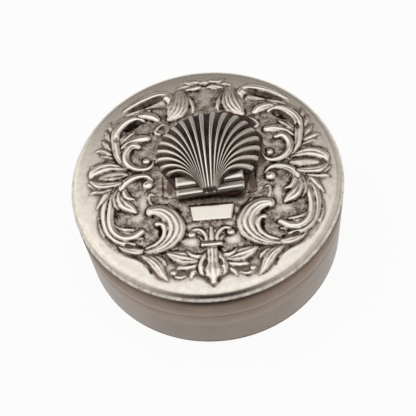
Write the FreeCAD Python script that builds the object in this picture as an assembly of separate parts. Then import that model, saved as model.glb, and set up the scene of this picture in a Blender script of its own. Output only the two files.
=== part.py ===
"""Round silver keepsake box: a soldered base with an inner bezel, and a lift-off lid
whose stamped top carries scroll relief and an applied scallop shell. Millimetres, +Z up,
origin at the centre of the underside."""
import FreeCAD
import Part

import math
import os

Vector = FreeCAD.Vector
UP = Vector(0, 0, 1)

# Box: driving sizes
outer_radius = 27.5        # base and lid share one outside, so the seam is flush
base_height = 12.4         # underside to the seam
lid_height = 8.4           # seam to the flat of the lid
base_wall = 0.8            # base band
floor_thickness = 0.8
lid_sheet = 0.7            # stamped top
shoulder_reach = 1.9       # from the edge of the flat to the wall
shoulder_radius = 1.4      # rounding of the stamped top's edge
shoulder_slope = 60.0      # degrees: the rounding turns this far, then drops straight to the band
foot_chamfer = 0.4         # broken edge under the base

# Bezel: the inner ring that the lid slips over
bezel_thickness = 0.6
bezel_proud = 4.0          # stands above the seam
bezel_seat = 5.5           # soldered length inside the base band
bezel_lead = 0.25          # chamfer that guides the lid on
lid_clearance = 0.05       # radial slip fit of the lid on the bezel

# Shell: an applied scallop, bedded a little askew on old cement
shell_centre_x = 0.95      # hinge line's middle, off the box's axis
shell_hinge_y = -5.75
shell_turn = 2.0           # degrees anticlockwise, seen from above
shell_tilt = 0.5           # degrees: the hinge side stands higher
shell_roll = 4.5           # degrees: the right side stands higher
shell_lift = 0.1           # cement left under the fan's lowest point
rib_count = 19
fan_radius_x = 10.3
fan_radius_y = 10.0
fan_centre_y = 10.25
fan_half_angle = 122.0     # from the fan's axis to its last groove
umbo_y = -0.8
umbo_radius = 0.9          # the ribs spring from this small arc
rib_spring = 0.36          # share of the rim angle at which a rib leaves the umbo
rib_reach = 0.52           # pull of a rib along its first direction
ridge_heights = (2.5, 4.7, 0.95)    # umbo, middle control, rim
groove_heights = (2.1, 3.8, 0.3)
rib_section = ((0.0, 0.0), (0.3, 0.95), (0.7, 0.95), (1.0, 0.0))
ear_half_length = 6.7
ear_depth = 3.9
ear_height = 1.35
ear_step = 1.95            # from the hinge edge to the groove between the two bars
ear_groove = 0.4

# Cement: a pad inside the shell's outline, with a tongue pressed out under the right of the hinge
bed_inset = 1.0
tongue_start = 0.4         # from the hinge line's middle
tongue_inset = 0.15        # behind the hinge edge

# Scroll relief: ridges drawn on the left half and mirrored about the pattern's own axis
pattern_x = 0.7            # the sheet was struck a little off the box's axis
plain_rim = 0.8            # from the pattern's longest reach to the shoulder
relief_root = 0.3          # a ridge starts this far down in the sheet
ridge_steps = 2            # flat facets to each span of a ridge
collar_half_length = 1.5   # ring that binds the front palmette
collar_half_width = 0.4
collar_y = -16.3
panel_rise = 0.2           # plain plate in front of the shell
panel_corners = ((-4.1, -7.8), (-3.5, -11.0), (3.5, -11.0), (4.1, -7.8))

# Each ridge: points from root to tip, half widths at them, height
left_ridges = (
    # lower stem, its outer border and the leaf inside it
    (((-18.6, -2.4), (-19.9, -5.4), (-19.9, -9.2), (-18.2, -12.4), (-15.9, -13.6), (-13.3, -12.8)),
     (0.25, 0.5, 0.6, 0.75, 0.7, 0.3), 0.8),
    (((-21.5, -7.6), (-21.2, -10.9), (-19.5, -14.0), (-16.6, -15.9), (-13.8, -17.0)),
     (0.2, 0.4, 0.5, 0.8, 0.25), 0.6),
    (((-17.5, -3.2), (-17.3, -5.2), (-16.3, -6.7), (-14.9, -7.8)), (0.2, 0.6, 0.75, 0.2), 0.8),
    (((-17.0, -1.4), (-15.7, 0.0), (-13.8, 0.5), (-12.4, 0.0)), (0.25, 0.5, 0.42, 0.25), 0.7),
    # side palmette
    (((-17.2, 2.7), (-18.8, 3.3), (-20.6, 3.6), (-22.6, 2.8), (-23.9, 1.0)),
     (0.15, 0.5, 0.65, 0.6, 0.15), 0.8),
    (((-19.4, -1.1), (-21.4, -1.7), (-23.0, -1.4), (-24.2, -0.4)), (0.2, 0.5, 0.45, 0.12), 0.65),
    # upper stem, its volute and leaf
    (((-17.6, 4.4), (-18.6, 6.6), (-19.0, 9.4), (-18.9, 12.0), (-17.2, 14.2), (-14.8, 15.3), (-12.9, 14.5)),
     (0.25, 0.5, 0.6, 0.7, 0.6, 0.45, 0.2), 0.8),
    (((-14.3, 7.9), (-15.8, 7.9), (-16.7, 6.2), (-16.3, 3.9), (-14.8, 2.4), (-12.9, 2.1)),
     (0.3, 0.5, 0.5, 0.5, 0.42, 0.2), 0.8),
    (((-17.2, 8.9), (-15.4, 9.9), (-13.6, 10.0), (-12.6, 9.8)), (0.2, 0.45, 0.7, 0.4), 0.8),
    # folds at the back
    (((-17.0, 17.6), (-14.6, 19.3), (-11.6, 20.8), (-9.0, 21.1), (-7.6, 20.2), (-7.2, 18.8), (-7.7, 17.7)),
     (0.2, 0.45, 0.5, 0.5, 0.5, 0.45, 0.2), 0.8),
    (((-13.6, 16.2), (-12.2, 16.0), (-11.0, 15.4), (-10.3, 14.4)), (0.25, 0.6, 0.7, 0.3), 0.8),
    (((-5.4, 20.5), (-5.4, 18.8), (-5.8, 17.0), (-6.6, 15.6), (-7.2, 14.9)), (0.5, 1.1, 1.4, 1.2, 0.5), 0.9),
    # lower scroll and the leaf below it
    (((-12.0, -17.0), (-9.8, -16.2), (-8.0, -14.4), (-7.2, -12.2), (-7.9, -10.0), (-9.5, -8.5),
      (-11.6, -8.2)), (0.25, 0.8, 1.2, 1.4, 1.3, 1.05, 0.5), 1.0),
    (((-12.8, -18.2), (-11.4, -19.1), (-10.2, -20.6), (-9.4, -22.0), (-8.5, -23.3)),
     (0.2, 0.6, 0.7, 0.45, 0.12), 0.8),
    # side leaf of the front palmette
    (((-1.7, -19.3), (-3.6, -19.4), (-5.8, -19.0), (-8.5, -17.6)), (0.2, 0.5, 0.75, 0.12), 0.8),
)
front_lobe = (((0, -17.1), (0, -19.4), (0, -22.2), (0, -24.6)), (0.7, 0.95, 0.95, 0.12), 0.9)

# Worked out from the sizes above
seam_z = base_height
lid_flat_z = base_height + lid_height
slope = math.radians(shoulder_slope)
rounding_run = shoulder_radius * math.sin(slope)
rounding_z = lid_flat_z - shoulder_radius * (1 - math.cos(slope))
shoulder_z = rounding_z - (shoulder_reach - rounding_run) * math.tan(slope)
bezel_outer = outer_radius - base_wall
lid_inner = bezel_outer + lid_clearance
drawn_reach = max(math.hypot(x, y) for points, _, _ in (*left_ridges, front_lobe) for x, y in points)
pattern_scale = (outer_radius - shoulder_reach - plain_rim) / drawn_reach


def ring(inner, outer, low, high):
    """Plain ring between two heights."""
    tube = Part.makeCylinder(outer, high - low, Vector(0, 0, low), UP)
    return tube.cut(Part.makeCylinder(inner, high - low, Vector(0, 0, low), UP))


def revolve(points, arcs=()):
    """Turns a closed (r, z) profile round the axis; arcs maps an edge's index to its mid point."""
    edges = []
    for i, (r, z) in enumerate(points):
        r2, z2 = points[(i + 1) % len(points)]
        start, end = Vector(r, 0, z), Vector(r2, 0, z2)
        if i in arcs:
            mid = Vector(arcs[i][0], 0, arcs[i][1])
            edges.append(Part.Arc(start, mid, end).toShape())
        else:
            edges.append(Part.makeLine(start, end))
    return Part.Face(Part.Wire(edges)).revolve(Vector(0, 0, 0), UP, 360)


def closed_solid(faces):
    """Solid inside a set of faces that meet all round."""
    skin = Part.makeShell(faces)
    skin.sewShape()
    solid = Part.Solid(skin)
    if solid.Volume < 0:
        solid.reverse()
    return solid


def polygon_face(points):
    return Part.Face(Part.makePolygon([*points, points[0]]))


def base_plate():
    """Floor disc under the base band, with its lower edge broken."""
    return revolve([(0, 0), (outer_radius - foot_chamfer, 0), (outer_radius, foot_chamfer),
                    (outer_radius, floor_thickness), (0, floor_thickness)])


def base_band():
    return ring(bezel_outer, outer_radius, floor_thickness, seam_z)


def bezel_ring():
    """Inner ring, chamfered on the outside of its top edge so that the lid finds it."""
    inner = bezel_outer - bezel_thickness
    low, high = seam_z - bezel_seat, seam_z + bezel_proud
    return revolve([(inner, low), (bezel_outer, low), (bezel_outer, high - bezel_lead),
                    (bezel_outer - bezel_lead, high), (inner, high)])


def lid_band():
    return ring(lid_inner, outer_radius, seam_z, shoulder_z)


def on_pattern(x, y, z, side):
    """A drawn point on the lid; side -1 mirrors it about the pattern's axis."""
    return Vector(pattern_x + side * x * pattern_scale, y * pattern_scale, z)


def ridge(points, half_widths, height, side):
    """Raised scroll: three-cornered sections along a smooth line, with flat facets between them."""
    curve = Part.BSplineCurve()
    curve.interpolate([Vector(x, y, w) for (x, y), w in zip(points, half_widths)])
    stations = curve.discretize(Number=ridge_steps * (len(points) - 1) + 1)
    root = lid_flat_z - relief_root
    left, crest, right = [], [], []
    for i, station in enumerate(stations):
        before, after = stations[max(i - 1, 0)], stations[min(i + 1, len(stations) - 1)]
        along = Vector(after.x - before.x, after.y - before.y, 0).normalize()
        across = UP.cross(along) * station.z
        top = lid_flat_z + height * math.sqrt(station.z / max(half_widths))
        left.append(on_pattern(station.x + across.x, station.y + across.y, root, side))
        crest.append(on_pattern(station.x, station.y, top, side))
        right.append(on_pattern(station.x - across.x, station.y - across.y, root, side))
    faces = [polygon_face([left[end], crest[end], right[end]]) for end in (0, -1)]
    faces.append(polygon_face(left + right[::-1]))
    for low, high in ((left, crest), (crest, right)):
        for i in range(len(low) - 1):
            faces.append(polygon_face([low[i], low[i + 1], high[i]]))
            faces.append(polygon_face([low[i + 1], high[i + 1], high[i]]))
    return closed_solid(faces)


def relief():
    """Everything that stands up from the flat of the lid."""
    raised = [ridge(*drawn, side) for drawn in left_ridges for side in (1, -1)]
    raised.append(ridge(*front_lobe, 1))
    collar = ((-collar_half_length, collar_y), (collar_half_length, collar_y))
    raised.append(ridge(collar, (collar_half_width, collar_half_width), collar_half_width, 1))
    corners = [on_pattern(x, y, lid_flat_z - relief_root, 1) for x, y in panel_corners]
    raised.append(polygon_face(corners).extrude(UP * (relief_root + panel_rise)))
    return raised


def lid_top():
    """Stamped sheet: relief on a flat ground, a rounded shoulder, and solder in the inside corner."""
    flat_edge = outer_radius - shoulder_reach
    halfway = (flat_edge + shoulder_radius * math.sin(slope / 2),
               lid_flat_z - shoulder_radius * (1 - math.cos(slope / 2)))
    under = lid_flat_z - lid_sheet
    fillet = under - shoulder_z
    profile = [(0, under), (lid_inner - fillet, under), (lid_inner, shoulder_z), (outer_radius, shoulder_z),
               (flat_edge + rounding_run, rounding_z), (flat_edge, lid_flat_z), (0, lid_flat_z)]
    return revolve(profile, {4: halfway}).multiFuse(relief())


def seat():
    """Placement of the shell's own frame: hinge line along X, fan towards +Y, seat at z 0."""
    tilt, roll = math.sin(math.radians(shell_tilt)), math.sin(math.radians(shell_roll))
    rise = shell_lift + fan_centre_y * tilt + math.hypot(fan_radius_x * roll, fan_radius_y * tilt)
    lean = FreeCAD.Rotation(Vector(0, 1, 0), -shell_roll)
    lean = lean.multiply(FreeCAD.Rotation(Vector(1, 0, 0), -shell_tilt))
    turn = FreeCAD.Rotation(UP, shell_turn).multiply(lean)
    return FreeCAD.Placement(Vector(shell_centre_x, shell_hinge_y, lid_flat_z + rise), turn)


def rib_line(angle, profile_height):
    """Curve from the umbo to the rim at a fan angle; height 0 is a groove and 1 a ridge."""
    theta = math.radians(angle)
    spring = theta * rib_spring
    start = Vector(umbo_radius * math.sin(spring), umbo_y + umbo_radius * math.cos(spring), 0)
    end = Vector(fan_radius_x * math.sin(theta), fan_centre_y + fan_radius_y * math.cos(theta), 0)
    pull = rib_reach * (end - start).Length
    middle = start + Vector(math.sin(spring), math.cos(spring), 0) * pull
    poles = []
    for point, low, high in zip((start, middle, end), groove_heights, ridge_heights):
        poles.append(Vector(point.x, point.y, low + (high - low) * profile_height))
    return poles


def bezier(poles):
    curve = Part.BezierCurve()
    curve.setPoles(poles)
    return curve.toShape()


def flat(poles):
    """The same poles dropped to the seat."""
    return [Vector(p.x, p.y, 0) for p in poles]


def wall(upper_start, upper_end):
    """Upright four-sided face from a straight upper edge down to the seat."""
    return polygon_face([upper_start, upper_end, *flat([upper_end, upper_start])])


def shell_fan():
    """Ribbed fan: ruled strips between groove and ridge curves, closed down to the seat."""
    pitch = 2 * fan_half_angle / rib_count
    lines = []
    for rib in range(rib_count):
        for share, height in rib_section[:-1]:
            lines.append(rib_line(-fan_half_angle + (rib + share) * pitch, height))
    lines.append(rib_line(fan_half_angle, 0.0))
    faces = []
    for left, right in zip(lines, lines[1:]):
        faces.append(Part.makeRuledSurface(bezier(left), bezier(right)))
        faces.append(wall(left[-1], right[-1]))
        faces.append(wall(left[0], right[0]))
    border = []
    for side in (lines[0], lines[-1]):
        faces.append(Part.makeRuledSurface(bezier(side), bezier(flat(side))))
        border.append(bezier(flat(side)))
    for end in (0, -1):
        border.append(Part.makePolygon(flat([line[end] for line in lines])))
    edges = [edge for part in border for edge in part.Edges]
    faces.append(Part.Face(Part.Wire(Part.__sortEdges__(edges))))
    return closed_solid(faces)


def shell_ears():
    """Hinge ears: two rounded bars side by side, run out to both sides of the umbo."""
    start = Vector(-ear_half_length, 0, 0)
    top = Vector(-ear_half_length, ear_step / 2, ear_height)
    valley = Vector(-ear_half_length, ear_step, ear_height - ear_groove)
    crest = Vector(-ear_half_length, (ear_step + ear_depth) / 2, ear_height - ear_groove / 2)
    back = Vector(-ear_half_length, ear_depth, ear_height - 2 * ear_groove)
    front = Vector(-ear_half_length, 0, ear_height - ear_groove)
    foot = Vector(-ear_half_length, ear_depth, 0)
    outline = [Part.makeLine(start, front), Part.Arc(front, top, valley).toShape(),
               Part.Arc(valley, crest, back).toShape(), Part.makeLine(back, foot),
               Part.makeLine(foot, start)]
    return Part.Face(Part.Wire(outline)).extrude(Vector(2 * ear_half_length, 0, 0))


def scallop_shell():
    shell = shell_fan().fuse(shell_ears()).removeSplitter()
    shell.Placement = seat().multiply(shell.Placement)
    return shell


def shell_cement():
    """Old cement: a pad from the lid up to the shell's seat, under the fan and the ears."""
    points = []
    for quarter in range(4):
        theta = quarter * math.pi / 2
        points.append(Vector((fan_radius_x - bed_inset) * math.sin(theta),
                             fan_centre_y + (fan_radius_y - bed_inset) * math.cos(theta), 0))
    curve = Part.BSplineCurve()
    curve.interpolate(Points=points, PeriodicFlag=True)
    deep = UP * -(seat().Base.z - lid_flat_z) * 2
    under_fan = Part.Face(Part.Wire(curve.toShape())).extrude(deep)
    half = ear_half_length - bed_inset
    under_ears = polygon_face([Vector(-half, bed_inset, 0), Vector(half, bed_inset, 0),
                               Vector(half, fan_centre_y / 2, 0), Vector(-half, fan_centre_y / 2, 0)])
    tongue = polygon_face([Vector(tongue_start, tongue_inset, 0), Vector(half, tongue_inset, 0),
                           Vector(half, ear_depth, 0), Vector(tongue_start, ear_depth, 0)])
    pad = under_fan.multiFuse([under_ears.extrude(deep), tongue.extrude(deep)]).removeSplitter()
    pad.Placement = seat()
    slab = Part.makeCylinder(outer_radius, lid_height, Vector(0, 0, lid_flat_z), UP)
    return pad.common(slab)


NODES = {
    "base_plate": base_plate,
    "base_band": base_band,
    "bezel_ring": bezel_ring,
    "lid_band": lid_band,
    "lid_top": lid_top,
    "shell_cement": shell_cement,
    "scallop_shell": scallop_shell,
}

os.makedirs("parts", exist_ok=True)
for name, make in NODES.items():
    shape = make()
    shape.exportStep(os.path.join("parts", name + ".step"))
    print(name, "solids", len(shape.Solids), "valid", shape.isValid(), "volume", round(shape.Volume, 2))
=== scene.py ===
# Round silver keepsake box: stamped scrollwork lid, applied scallop shell, satin walls
import math

import bmesh
import bpy
import numpy as np
from mathutils import Matrix, Vector, noise


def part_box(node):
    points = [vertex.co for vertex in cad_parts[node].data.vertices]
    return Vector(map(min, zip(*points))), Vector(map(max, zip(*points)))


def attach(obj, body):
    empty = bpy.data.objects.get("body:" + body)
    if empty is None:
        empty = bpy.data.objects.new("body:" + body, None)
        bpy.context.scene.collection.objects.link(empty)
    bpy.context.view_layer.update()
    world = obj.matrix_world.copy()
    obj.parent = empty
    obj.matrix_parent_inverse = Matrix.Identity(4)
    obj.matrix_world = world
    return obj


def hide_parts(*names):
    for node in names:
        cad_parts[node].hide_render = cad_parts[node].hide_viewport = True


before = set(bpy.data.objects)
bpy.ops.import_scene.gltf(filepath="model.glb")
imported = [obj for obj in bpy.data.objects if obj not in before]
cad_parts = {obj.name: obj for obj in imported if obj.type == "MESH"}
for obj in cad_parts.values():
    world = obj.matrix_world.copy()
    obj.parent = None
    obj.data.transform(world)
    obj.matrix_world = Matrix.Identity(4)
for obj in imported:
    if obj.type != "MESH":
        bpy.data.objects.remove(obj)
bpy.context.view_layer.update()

mm = 0.001    # pieces are drawn in mm and scaled to metres

# Heights and radii that the frame gives, in mm
plateLow, plateHigh = (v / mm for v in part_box("base_plate"))
bandLow, bandHigh = (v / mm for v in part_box("base_band"))
bezelLow, bezelHigh = (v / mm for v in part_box("bezel_ring"))
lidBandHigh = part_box("lid_band")[1] / mm
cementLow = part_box("shell_cement")[0] / mm
outerRadius = bandHigh.x
seamZ = bandHigh.z
shoulderZ = lidBandHigh.z
lidFlatZ = cementLow.z        # the cement lies on the flat of the lid
bezelOuter = bezelHigh.x
print("frame: radius", round(outerRadius, 2), "seam", round(seamZ, 2), "flat", round(lidFlatZ, 2))


# Small tools shared by the pieces

def hexLinear(code):    # sRGB hex to linear colour
    parts = [int(code[i:i + 2], 16) / 255 for i in (1, 3, 5)]
    return [c / 12.92 if c <= 0.04045 else ((c + 0.055) / 1.055) ** 2.4 for c in parts] + [1.0]


def addNode(tree, kind, settings=None, **inputs):    # a node with its settings, values and links
    node = tree.nodes.new(kind)
    for key, value in (settings or {}).items():
        setattr(node, key, value)
    for key, value in inputs.items():
        socket = node.inputs[int(key[1:]) if key[0] == "i" and key[1:].isdigit() else key.replace("_", " ")]
        if isinstance(value, bpy.types.NodeSocket):
            tree.links.new(value, socket)
        else:
            socket.default_value = value
    return node


def rampStops(node, stops):    # colours of a colour ramp, as (place, hex)
    ramp = node.color_ramp
    while len(ramp.elements) < len(stops):
        ramp.elements.new(0.5)
    for element, (place, code) in zip(ramp.elements, stops):
        element.position = place
        element.color = hexLinear(code)
    return node.outputs["Color"]


def finishMesh(bm, name, material, body, slot, *nodes):    # turns a bmesh in mm into a riding piece
    bmesh.ops.scale(bm, vec=(mm, mm, mm), verts=bm.verts)
    mesh = bpy.data.meshes.new(name)
    bm.to_mesh(mesh)
    bm.free()
    mesh.shade_smooth()
    piece = bpy.data.objects.new(name, mesh)
    bpy.context.scene.collection.objects.link(piece)
    mesh.materials.append(material)
    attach(piece, body)
    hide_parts(*nodes)
    print("piece", name, "triangles", sum(len(p.vertices) - 2 for p in mesh.polygons))
    return piece


def addMark(piece, name, values):    # a number at each vertex, for the material to read
    mark = piece.data.attributes.new(name, "FLOAT", "POINT")
    mark.data.foreach_set("value", np.asarray(values, np.float32))


turning = {"steps": 240, "merge": 1e-4, "sharpAngle": 0.5, "softSteps": 3}


def latheProfile(bm, profile, steps):    # spins an (r, z) line round the axis of the box
    verts = [bm.verts.new((r, 0, z)) for r, z in profile]
    edges = [bm.edges.new(pair) for pair in zip(verts, verts[1:])]
    bmesh.ops.spin(bm, geom=verts + edges, cent=(0, 0, 0), axis=(0, 0, 1), angle=2 * math.pi,
                   steps=steps, use_merge=True, use_duplicate=False)
    bmesh.ops.remove_doubles(bm, verts=bm.verts, dist=turning["merge"])
    bmesh.ops.recalc_face_normals(bm, faces=bm.faces)


def turnedRing(name, profile, soft, softFrom, material, body, slot, node):    # ring with some edges softened
    bm = bmesh.new()
    latheProfile(bm, profile + profile[:1], turning["steps"])
    sharp = [e for e in bm.edges if len(e.link_faces) == 2 and e.calc_face_angle() > turning["sharpAngle"]
             and all(softFrom[0] <= v.co.z <= softFrom[1] for v in e.verts)]
    bmesh.ops.bevel(bm, geom=sharp, offset=soft, affect="EDGES", segments=turning["softSteps"], profile=0.5,
                    material=-1)
    return finishMesh(bm, name, material, body, slot, node)


# Materials

def newMaterial(name):
    material = bpy.data.materials.new(name)
    material.use_nodes = True
    tree = material.node_tree
    shader = tree.nodes["Principled BSDF"]
    return material, tree, shader


def satinSilver():
    # Sterling sheet rubbed with fine abrasive: soft reflections under crossed hairline scratches
    look = {"bright": "#9b897b", "dull": "#76675b", "ringSpacing": 0.22, "ringStretch": 0.02,
            "hairSpacing": 0.3, "hairStretch": 0.04, "hairShare": 0.4, "stainSize": 7.0, "stainShare": 0.8,
            "toneFrom": (0.72, 1.48), "roughFrom": (0.45, 0.95), "rough": (0.3, 0.44), "bump": 0.15,
            "bumpDepth": 0.02}
    material, tree, shader = newMaterial("silver_satin_rubbed")
    place = addNode(tree, "ShaderNodeTexCoord").outputs["Object"]
    angle = addNode(tree, "ShaderNodeTexGradient", {"gradient_type": "RADIAL"}, Vector=place)
    height = addNode(tree, "ShaderNodeSeparateXYZ", Vector=place)
    around = addNode(tree, "ShaderNodeMath", {"operation": "MULTIPLY"}, i0=angle.outputs["Fac"],
                     i1=2 * math.pi * outerRadius * mm)
    unrolled = addNode(tree, "ShaderNodeCombineXYZ", X=around.outputs[0], Y=height.outputs["Z"]).outputs[0]
    turned = addNode(tree, "ShaderNodeMapping", Vector=unrolled, Scale=(look["ringStretch"], 1, 1))
    upright = addNode(tree, "ShaderNodeMapping", Vector=unrolled, Scale=(1, look["hairStretch"], 1))
    rings = addNode(tree, "ShaderNodeTexNoise", Vector=turned.outputs[0], Detail=3.0,
                    Scale=1 / (look["ringSpacing"] * mm))
    hairs = addNode(tree, "ShaderNodeTexNoise", Vector=upright.outputs[0], Detail=3.0,
                    Scale=1 / (look["hairSpacing"] * mm))
    stain = addNode(tree, "ShaderNodeTexNoise", Vector=place, Scale=1 / (look["stainSize"] * mm), Detail=4.0)
    scratch = addNode(tree, "ShaderNodeMath", {"operation": "MULTIPLY_ADD"}, i0=hairs.outputs["Fac"],
                      i1=look["hairShare"], i2=rings.outputs["Fac"])
    tone = addNode(tree, "ShaderNodeMath", {"operation": "MULTIPLY_ADD"}, i0=stain.outputs["Fac"],
                   i1=look["stainShare"], i2=scratch.outputs[0])
    spread = addNode(tree, "ShaderNodeMapRange", Value=tone.outputs[0], From_Min=look["toneFrom"][0],
                     From_Max=look["toneFrom"][1])
    colour = addNode(tree, "ShaderNodeMix", {"data_type": "RGBA"}, Factor=spread.outputs[0],
                     i6=hexLinear(look["dull"]), i7=hexLinear(look["bright"]))
    rough = addNode(tree, "ShaderNodeMapRange", Value=scratch.outputs[0], From_Min=look["roughFrom"][0],
                    From_Max=look["roughFrom"][1], To_Min=look["rough"][0], To_Max=look["rough"][1])
    bump = addNode(tree, "ShaderNodeBump", Strength=look["bump"], Distance=look["bumpDepth"] * mm,
                   Height=scratch.outputs[0])
    tree.links.new(colour.outputs[2], shader.inputs["Base Color"])
    tree.links.new(rough.outputs[0], shader.inputs["Roughness"])
    tree.links.new(bump.outputs[0], shader.inputs["Normal"])
    shader.inputs["Metallic"].default_value = 1.0
    return material


worn = {"mottleFrom": (0.7, 1.3), "crustGain": 1.6, "crustFrom": (1.3, 2.1), "crustRough": 0.75,
        "bumpDepth": 0.03}


def wornSilver(name, look):
    # Oxidised silver rubbed bright: wear runs from black recess to polished crest, crust is dried-on grime
    material, tree, shader = newMaterial(name)
    place = addNode(tree, "ShaderNodeTexCoord").outputs["Object"]
    wear = addNode(tree, "ShaderNodeAttribute", {"attribute_name": "wear"})
    crust = addNode(tree, "ShaderNodeAttribute", {"attribute_name": "crust"})
    grain = addNode(tree, "ShaderNodeTexNoise", Vector=place, Scale=1 / (look["grain"] * mm), Detail=4.0,
                    Roughness=0.65)
    blot = addNode(tree, "ShaderNodeTexNoise", Vector=place, Scale=1 / (look["blot"] * mm), Detail=3.0)
    mottle = addNode(tree, "ShaderNodeMath", {"operation": "ADD"}, i0=grain.outputs["Fac"],
                     i1=blot.outputs["Fac"])
    drift = addNode(tree, "ShaderNodeMapRange", Value=mottle.outputs[0], From_Min=worn["mottleFrom"][0],
                    From_Max=worn["mottleFrom"][1], To_Min=-look["mottle"], To_Max=look["mottle"])
    calm = addNode(tree, "ShaderNodeMath", {"operation": "SUBTRACT"}, i0=1.0, i1=wear.outputs["Fac"])
    shade = addNode(tree, "ShaderNodeMath", {"operation": "MULTIPLY_ADD"}, i0=drift.outputs[0],
                    i1=calm.outputs[0], i2=wear.outputs["Fac"])
    ramp = addNode(tree, "ShaderNodeValToRGB", Fac=shade.outputs[0])
    silver = rampStops(ramp, look["stops"])
    flakes = addNode(tree, "ShaderNodeMath", {"operation": "MULTIPLY_ADD"}, i0=crust.outputs["Fac"],
                     i1=worn["crustGain"], i2=mottle.outputs[0])
    cover = addNode(tree, "ShaderNodeMapRange", {"interpolation_type": "SMOOTHSTEP"}, Value=flakes.outputs[0],
                    From_Min=worn["crustFrom"][0], From_Max=worn["crustFrom"][1])
    dust = addNode(tree, "ShaderNodeMix", {"data_type": "RGBA"}, Factor=grain.outputs["Fac"],
                   i6=hexLinear(look["grimeDark"]), i7=hexLinear(look["grimePale"]))
    colour = addNode(tree, "ShaderNodeMix", {"data_type": "RGBA"}, Factor=cover.outputs[0], i6=silver,
                     i7=dust.outputs[2])
    gloss = addNode(tree, "ShaderNodeMapRange", Value=shade.outputs[0], To_Min=look["roughHigh"],
                    To_Max=look["roughLow"])
    rough = addNode(tree, "ShaderNodeMix", Factor=cover.outputs[0], i2=gloss.outputs[0],
                    i3=worn["crustRough"])
    bare = addNode(tree, "ShaderNodeMath", {"operation": "SUBTRACT"}, i0=1.0, i1=cover.outputs[0])
    bump = addNode(tree, "ShaderNodeBump", Strength=look["bump"], Distance=worn["bumpDepth"] * mm,
                   Height=grain.outputs["Fac"])
    tree.links.new(colour.outputs[2], shader.inputs["Base Color"])
    tree.links.new(rough.outputs[0], shader.inputs["Roughness"])
    tree.links.new(bare.outputs[0], shader.inputs["Metallic"])
    tree.links.new(bump.outputs[0], shader.inputs["Normal"])
    return material


def stampedSilver():
    # Struck sheet: the ground stays brown and grainy between polished leaves
    stops = [(0.0, "#181413"), (0.22, "#40362f"), (0.45, "#84766e"), (0.7, "#c4bbb1"), (1.0, "#f2ece3")]
    return wornSilver("silver_stamped_oxidised",
                      {"stops": stops, "grain": 0.24, "blot": 1.3, "mottle": 0.75, "roughLow": 0.22,
                       "roughHigh": 0.55, "bump": 0.4, "grimeDark": "#3f281d", "grimePale": "#94806f"})


def castSilver():
    # Cast shell: dark in the grooves, rubbed along every rib
    stops = [(0.0, "#28221f"), (0.3, "#625b55"), (0.6, "#aca39b"), (1.0, "#f6f0e9")]
    return wornSilver("silver_cast_oxidised",
                      {"stops": stops, "grain": 0.4, "blot": 3.0, "mottle": 0.2, "roughLow": 0.26,
                       "roughHigh": 0.45, "bump": 0.15, "grimeDark": "#3a2219", "grimePale": "#8a6a58"})


def drawnSilver():
    # Drawn strip, unpolished inside the box: pale and even, with faint lines round the ring
    look = {"dull": "#a39a90", "bright": "#cfc8bf", "lineSpacing": 0.25, "stretch": 0.05,
            "rough": (0.25, 0.42)}
    material, tree, shader = newMaterial("silver_drawn_plain")
    place = addNode(tree, "ShaderNodeTexCoord").outputs["Object"]
    lines = addNode(tree, "ShaderNodeMapping", Vector=place, Scale=(look["stretch"], look["stretch"], 1))
    draw = addNode(tree, "ShaderNodeTexNoise", Vector=lines.outputs[0], Scale=1 / (look["lineSpacing"] * mm),
                   Detail=3.0)
    colour = addNode(tree, "ShaderNodeMix", {"data_type": "RGBA"}, Factor=draw.outputs["Fac"],
                     i6=hexLinear(look["dull"]), i7=hexLinear(look["bright"]))
    rough = addNode(tree, "ShaderNodeMapRange", Value=draw.outputs["Fac"], To_Min=look["rough"][0],
                    To_Max=look["rough"][1])
    tree.links.new(colour.outputs[2], shader.inputs["Base Color"])
    tree.links.new(rough.outputs[0], shader.inputs["Roughness"])
    shader.inputs["Metallic"].default_value = 1.0
    return material


def shellacCement():
    # Old shellac cement: brittle red-brown resin, dusty on top and darker where it is thick
    look = {"stops": [(0.3, "#150a07"), (0.5, "#3a1b10"), (0.7, "#5f3020"), (0.9, "#86614d")],
            "lumpSize": 1.2, "bump": 0.5, "bumpDepth": 0.15, "rough": 0.5}
    material, tree, shader = newMaterial("shellac_cement_aged")
    place = addNode(tree, "ShaderNodeTexCoord").outputs["Object"]
    lump = addNode(tree, "ShaderNodeTexNoise", Vector=place, Scale=1 / (look["lumpSize"] * mm), Detail=6.0,
                   Roughness=0.65)
    ramp = addNode(tree, "ShaderNodeValToRGB", Fac=lump.outputs["Fac"])
    tree.links.new(rampStops(ramp, look["stops"]), shader.inputs["Base Color"])
    bump = addNode(tree, "ShaderNodeBump", Strength=look["bump"], Distance=look["bumpDepth"] * mm,
                   Height=lump.outputs["Fac"])
    tree.links.new(bump.outputs[0], shader.inputs["Normal"])
    shader.inputs["Roughness"].default_value = look["rough"]
    return material


satin = satinSilver()
stamped = stampedSilver()
cast = castSilver()
drawn = drawnSilver()
cement = shellacCement()
print("materials ready")


# Base: floor disc, satin band and inner bezel

base = {"softEdge": 0.12, "seamReach": 0.1, "footSoft": 0.35, "footSteps": 4, "bezelWall": 0.6,
        "bezelLead": 0.25, "bezelSoft": 0.08}
seamRange = (seamZ - base["seamReach"], seamZ + base["seamReach"])

bm = bmesh.new()
plateProfile = [(0, plateLow.z), (outerRadius, plateLow.z), (outerRadius, plateHigh.z), (0, plateHigh.z)]
latheProfile(bm, plateProfile, turning["steps"])
foot = [e for e in bm.edges if all(abs(v.co.z - plateLow.z) < turning["merge"] for v in e.verts)
        and len(e.link_faces) == 2 and e.calc_face_angle() > turning["sharpAngle"]]
bmesh.ops.bevel(bm, geom=foot, offset=base["footSoft"], affect="EDGES", segments=base["footSteps"],
                profile=0.5, material=-1)
finishMesh(bm, "floorDisc", satin, "base", "satin_silver", "base_plate")

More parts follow.
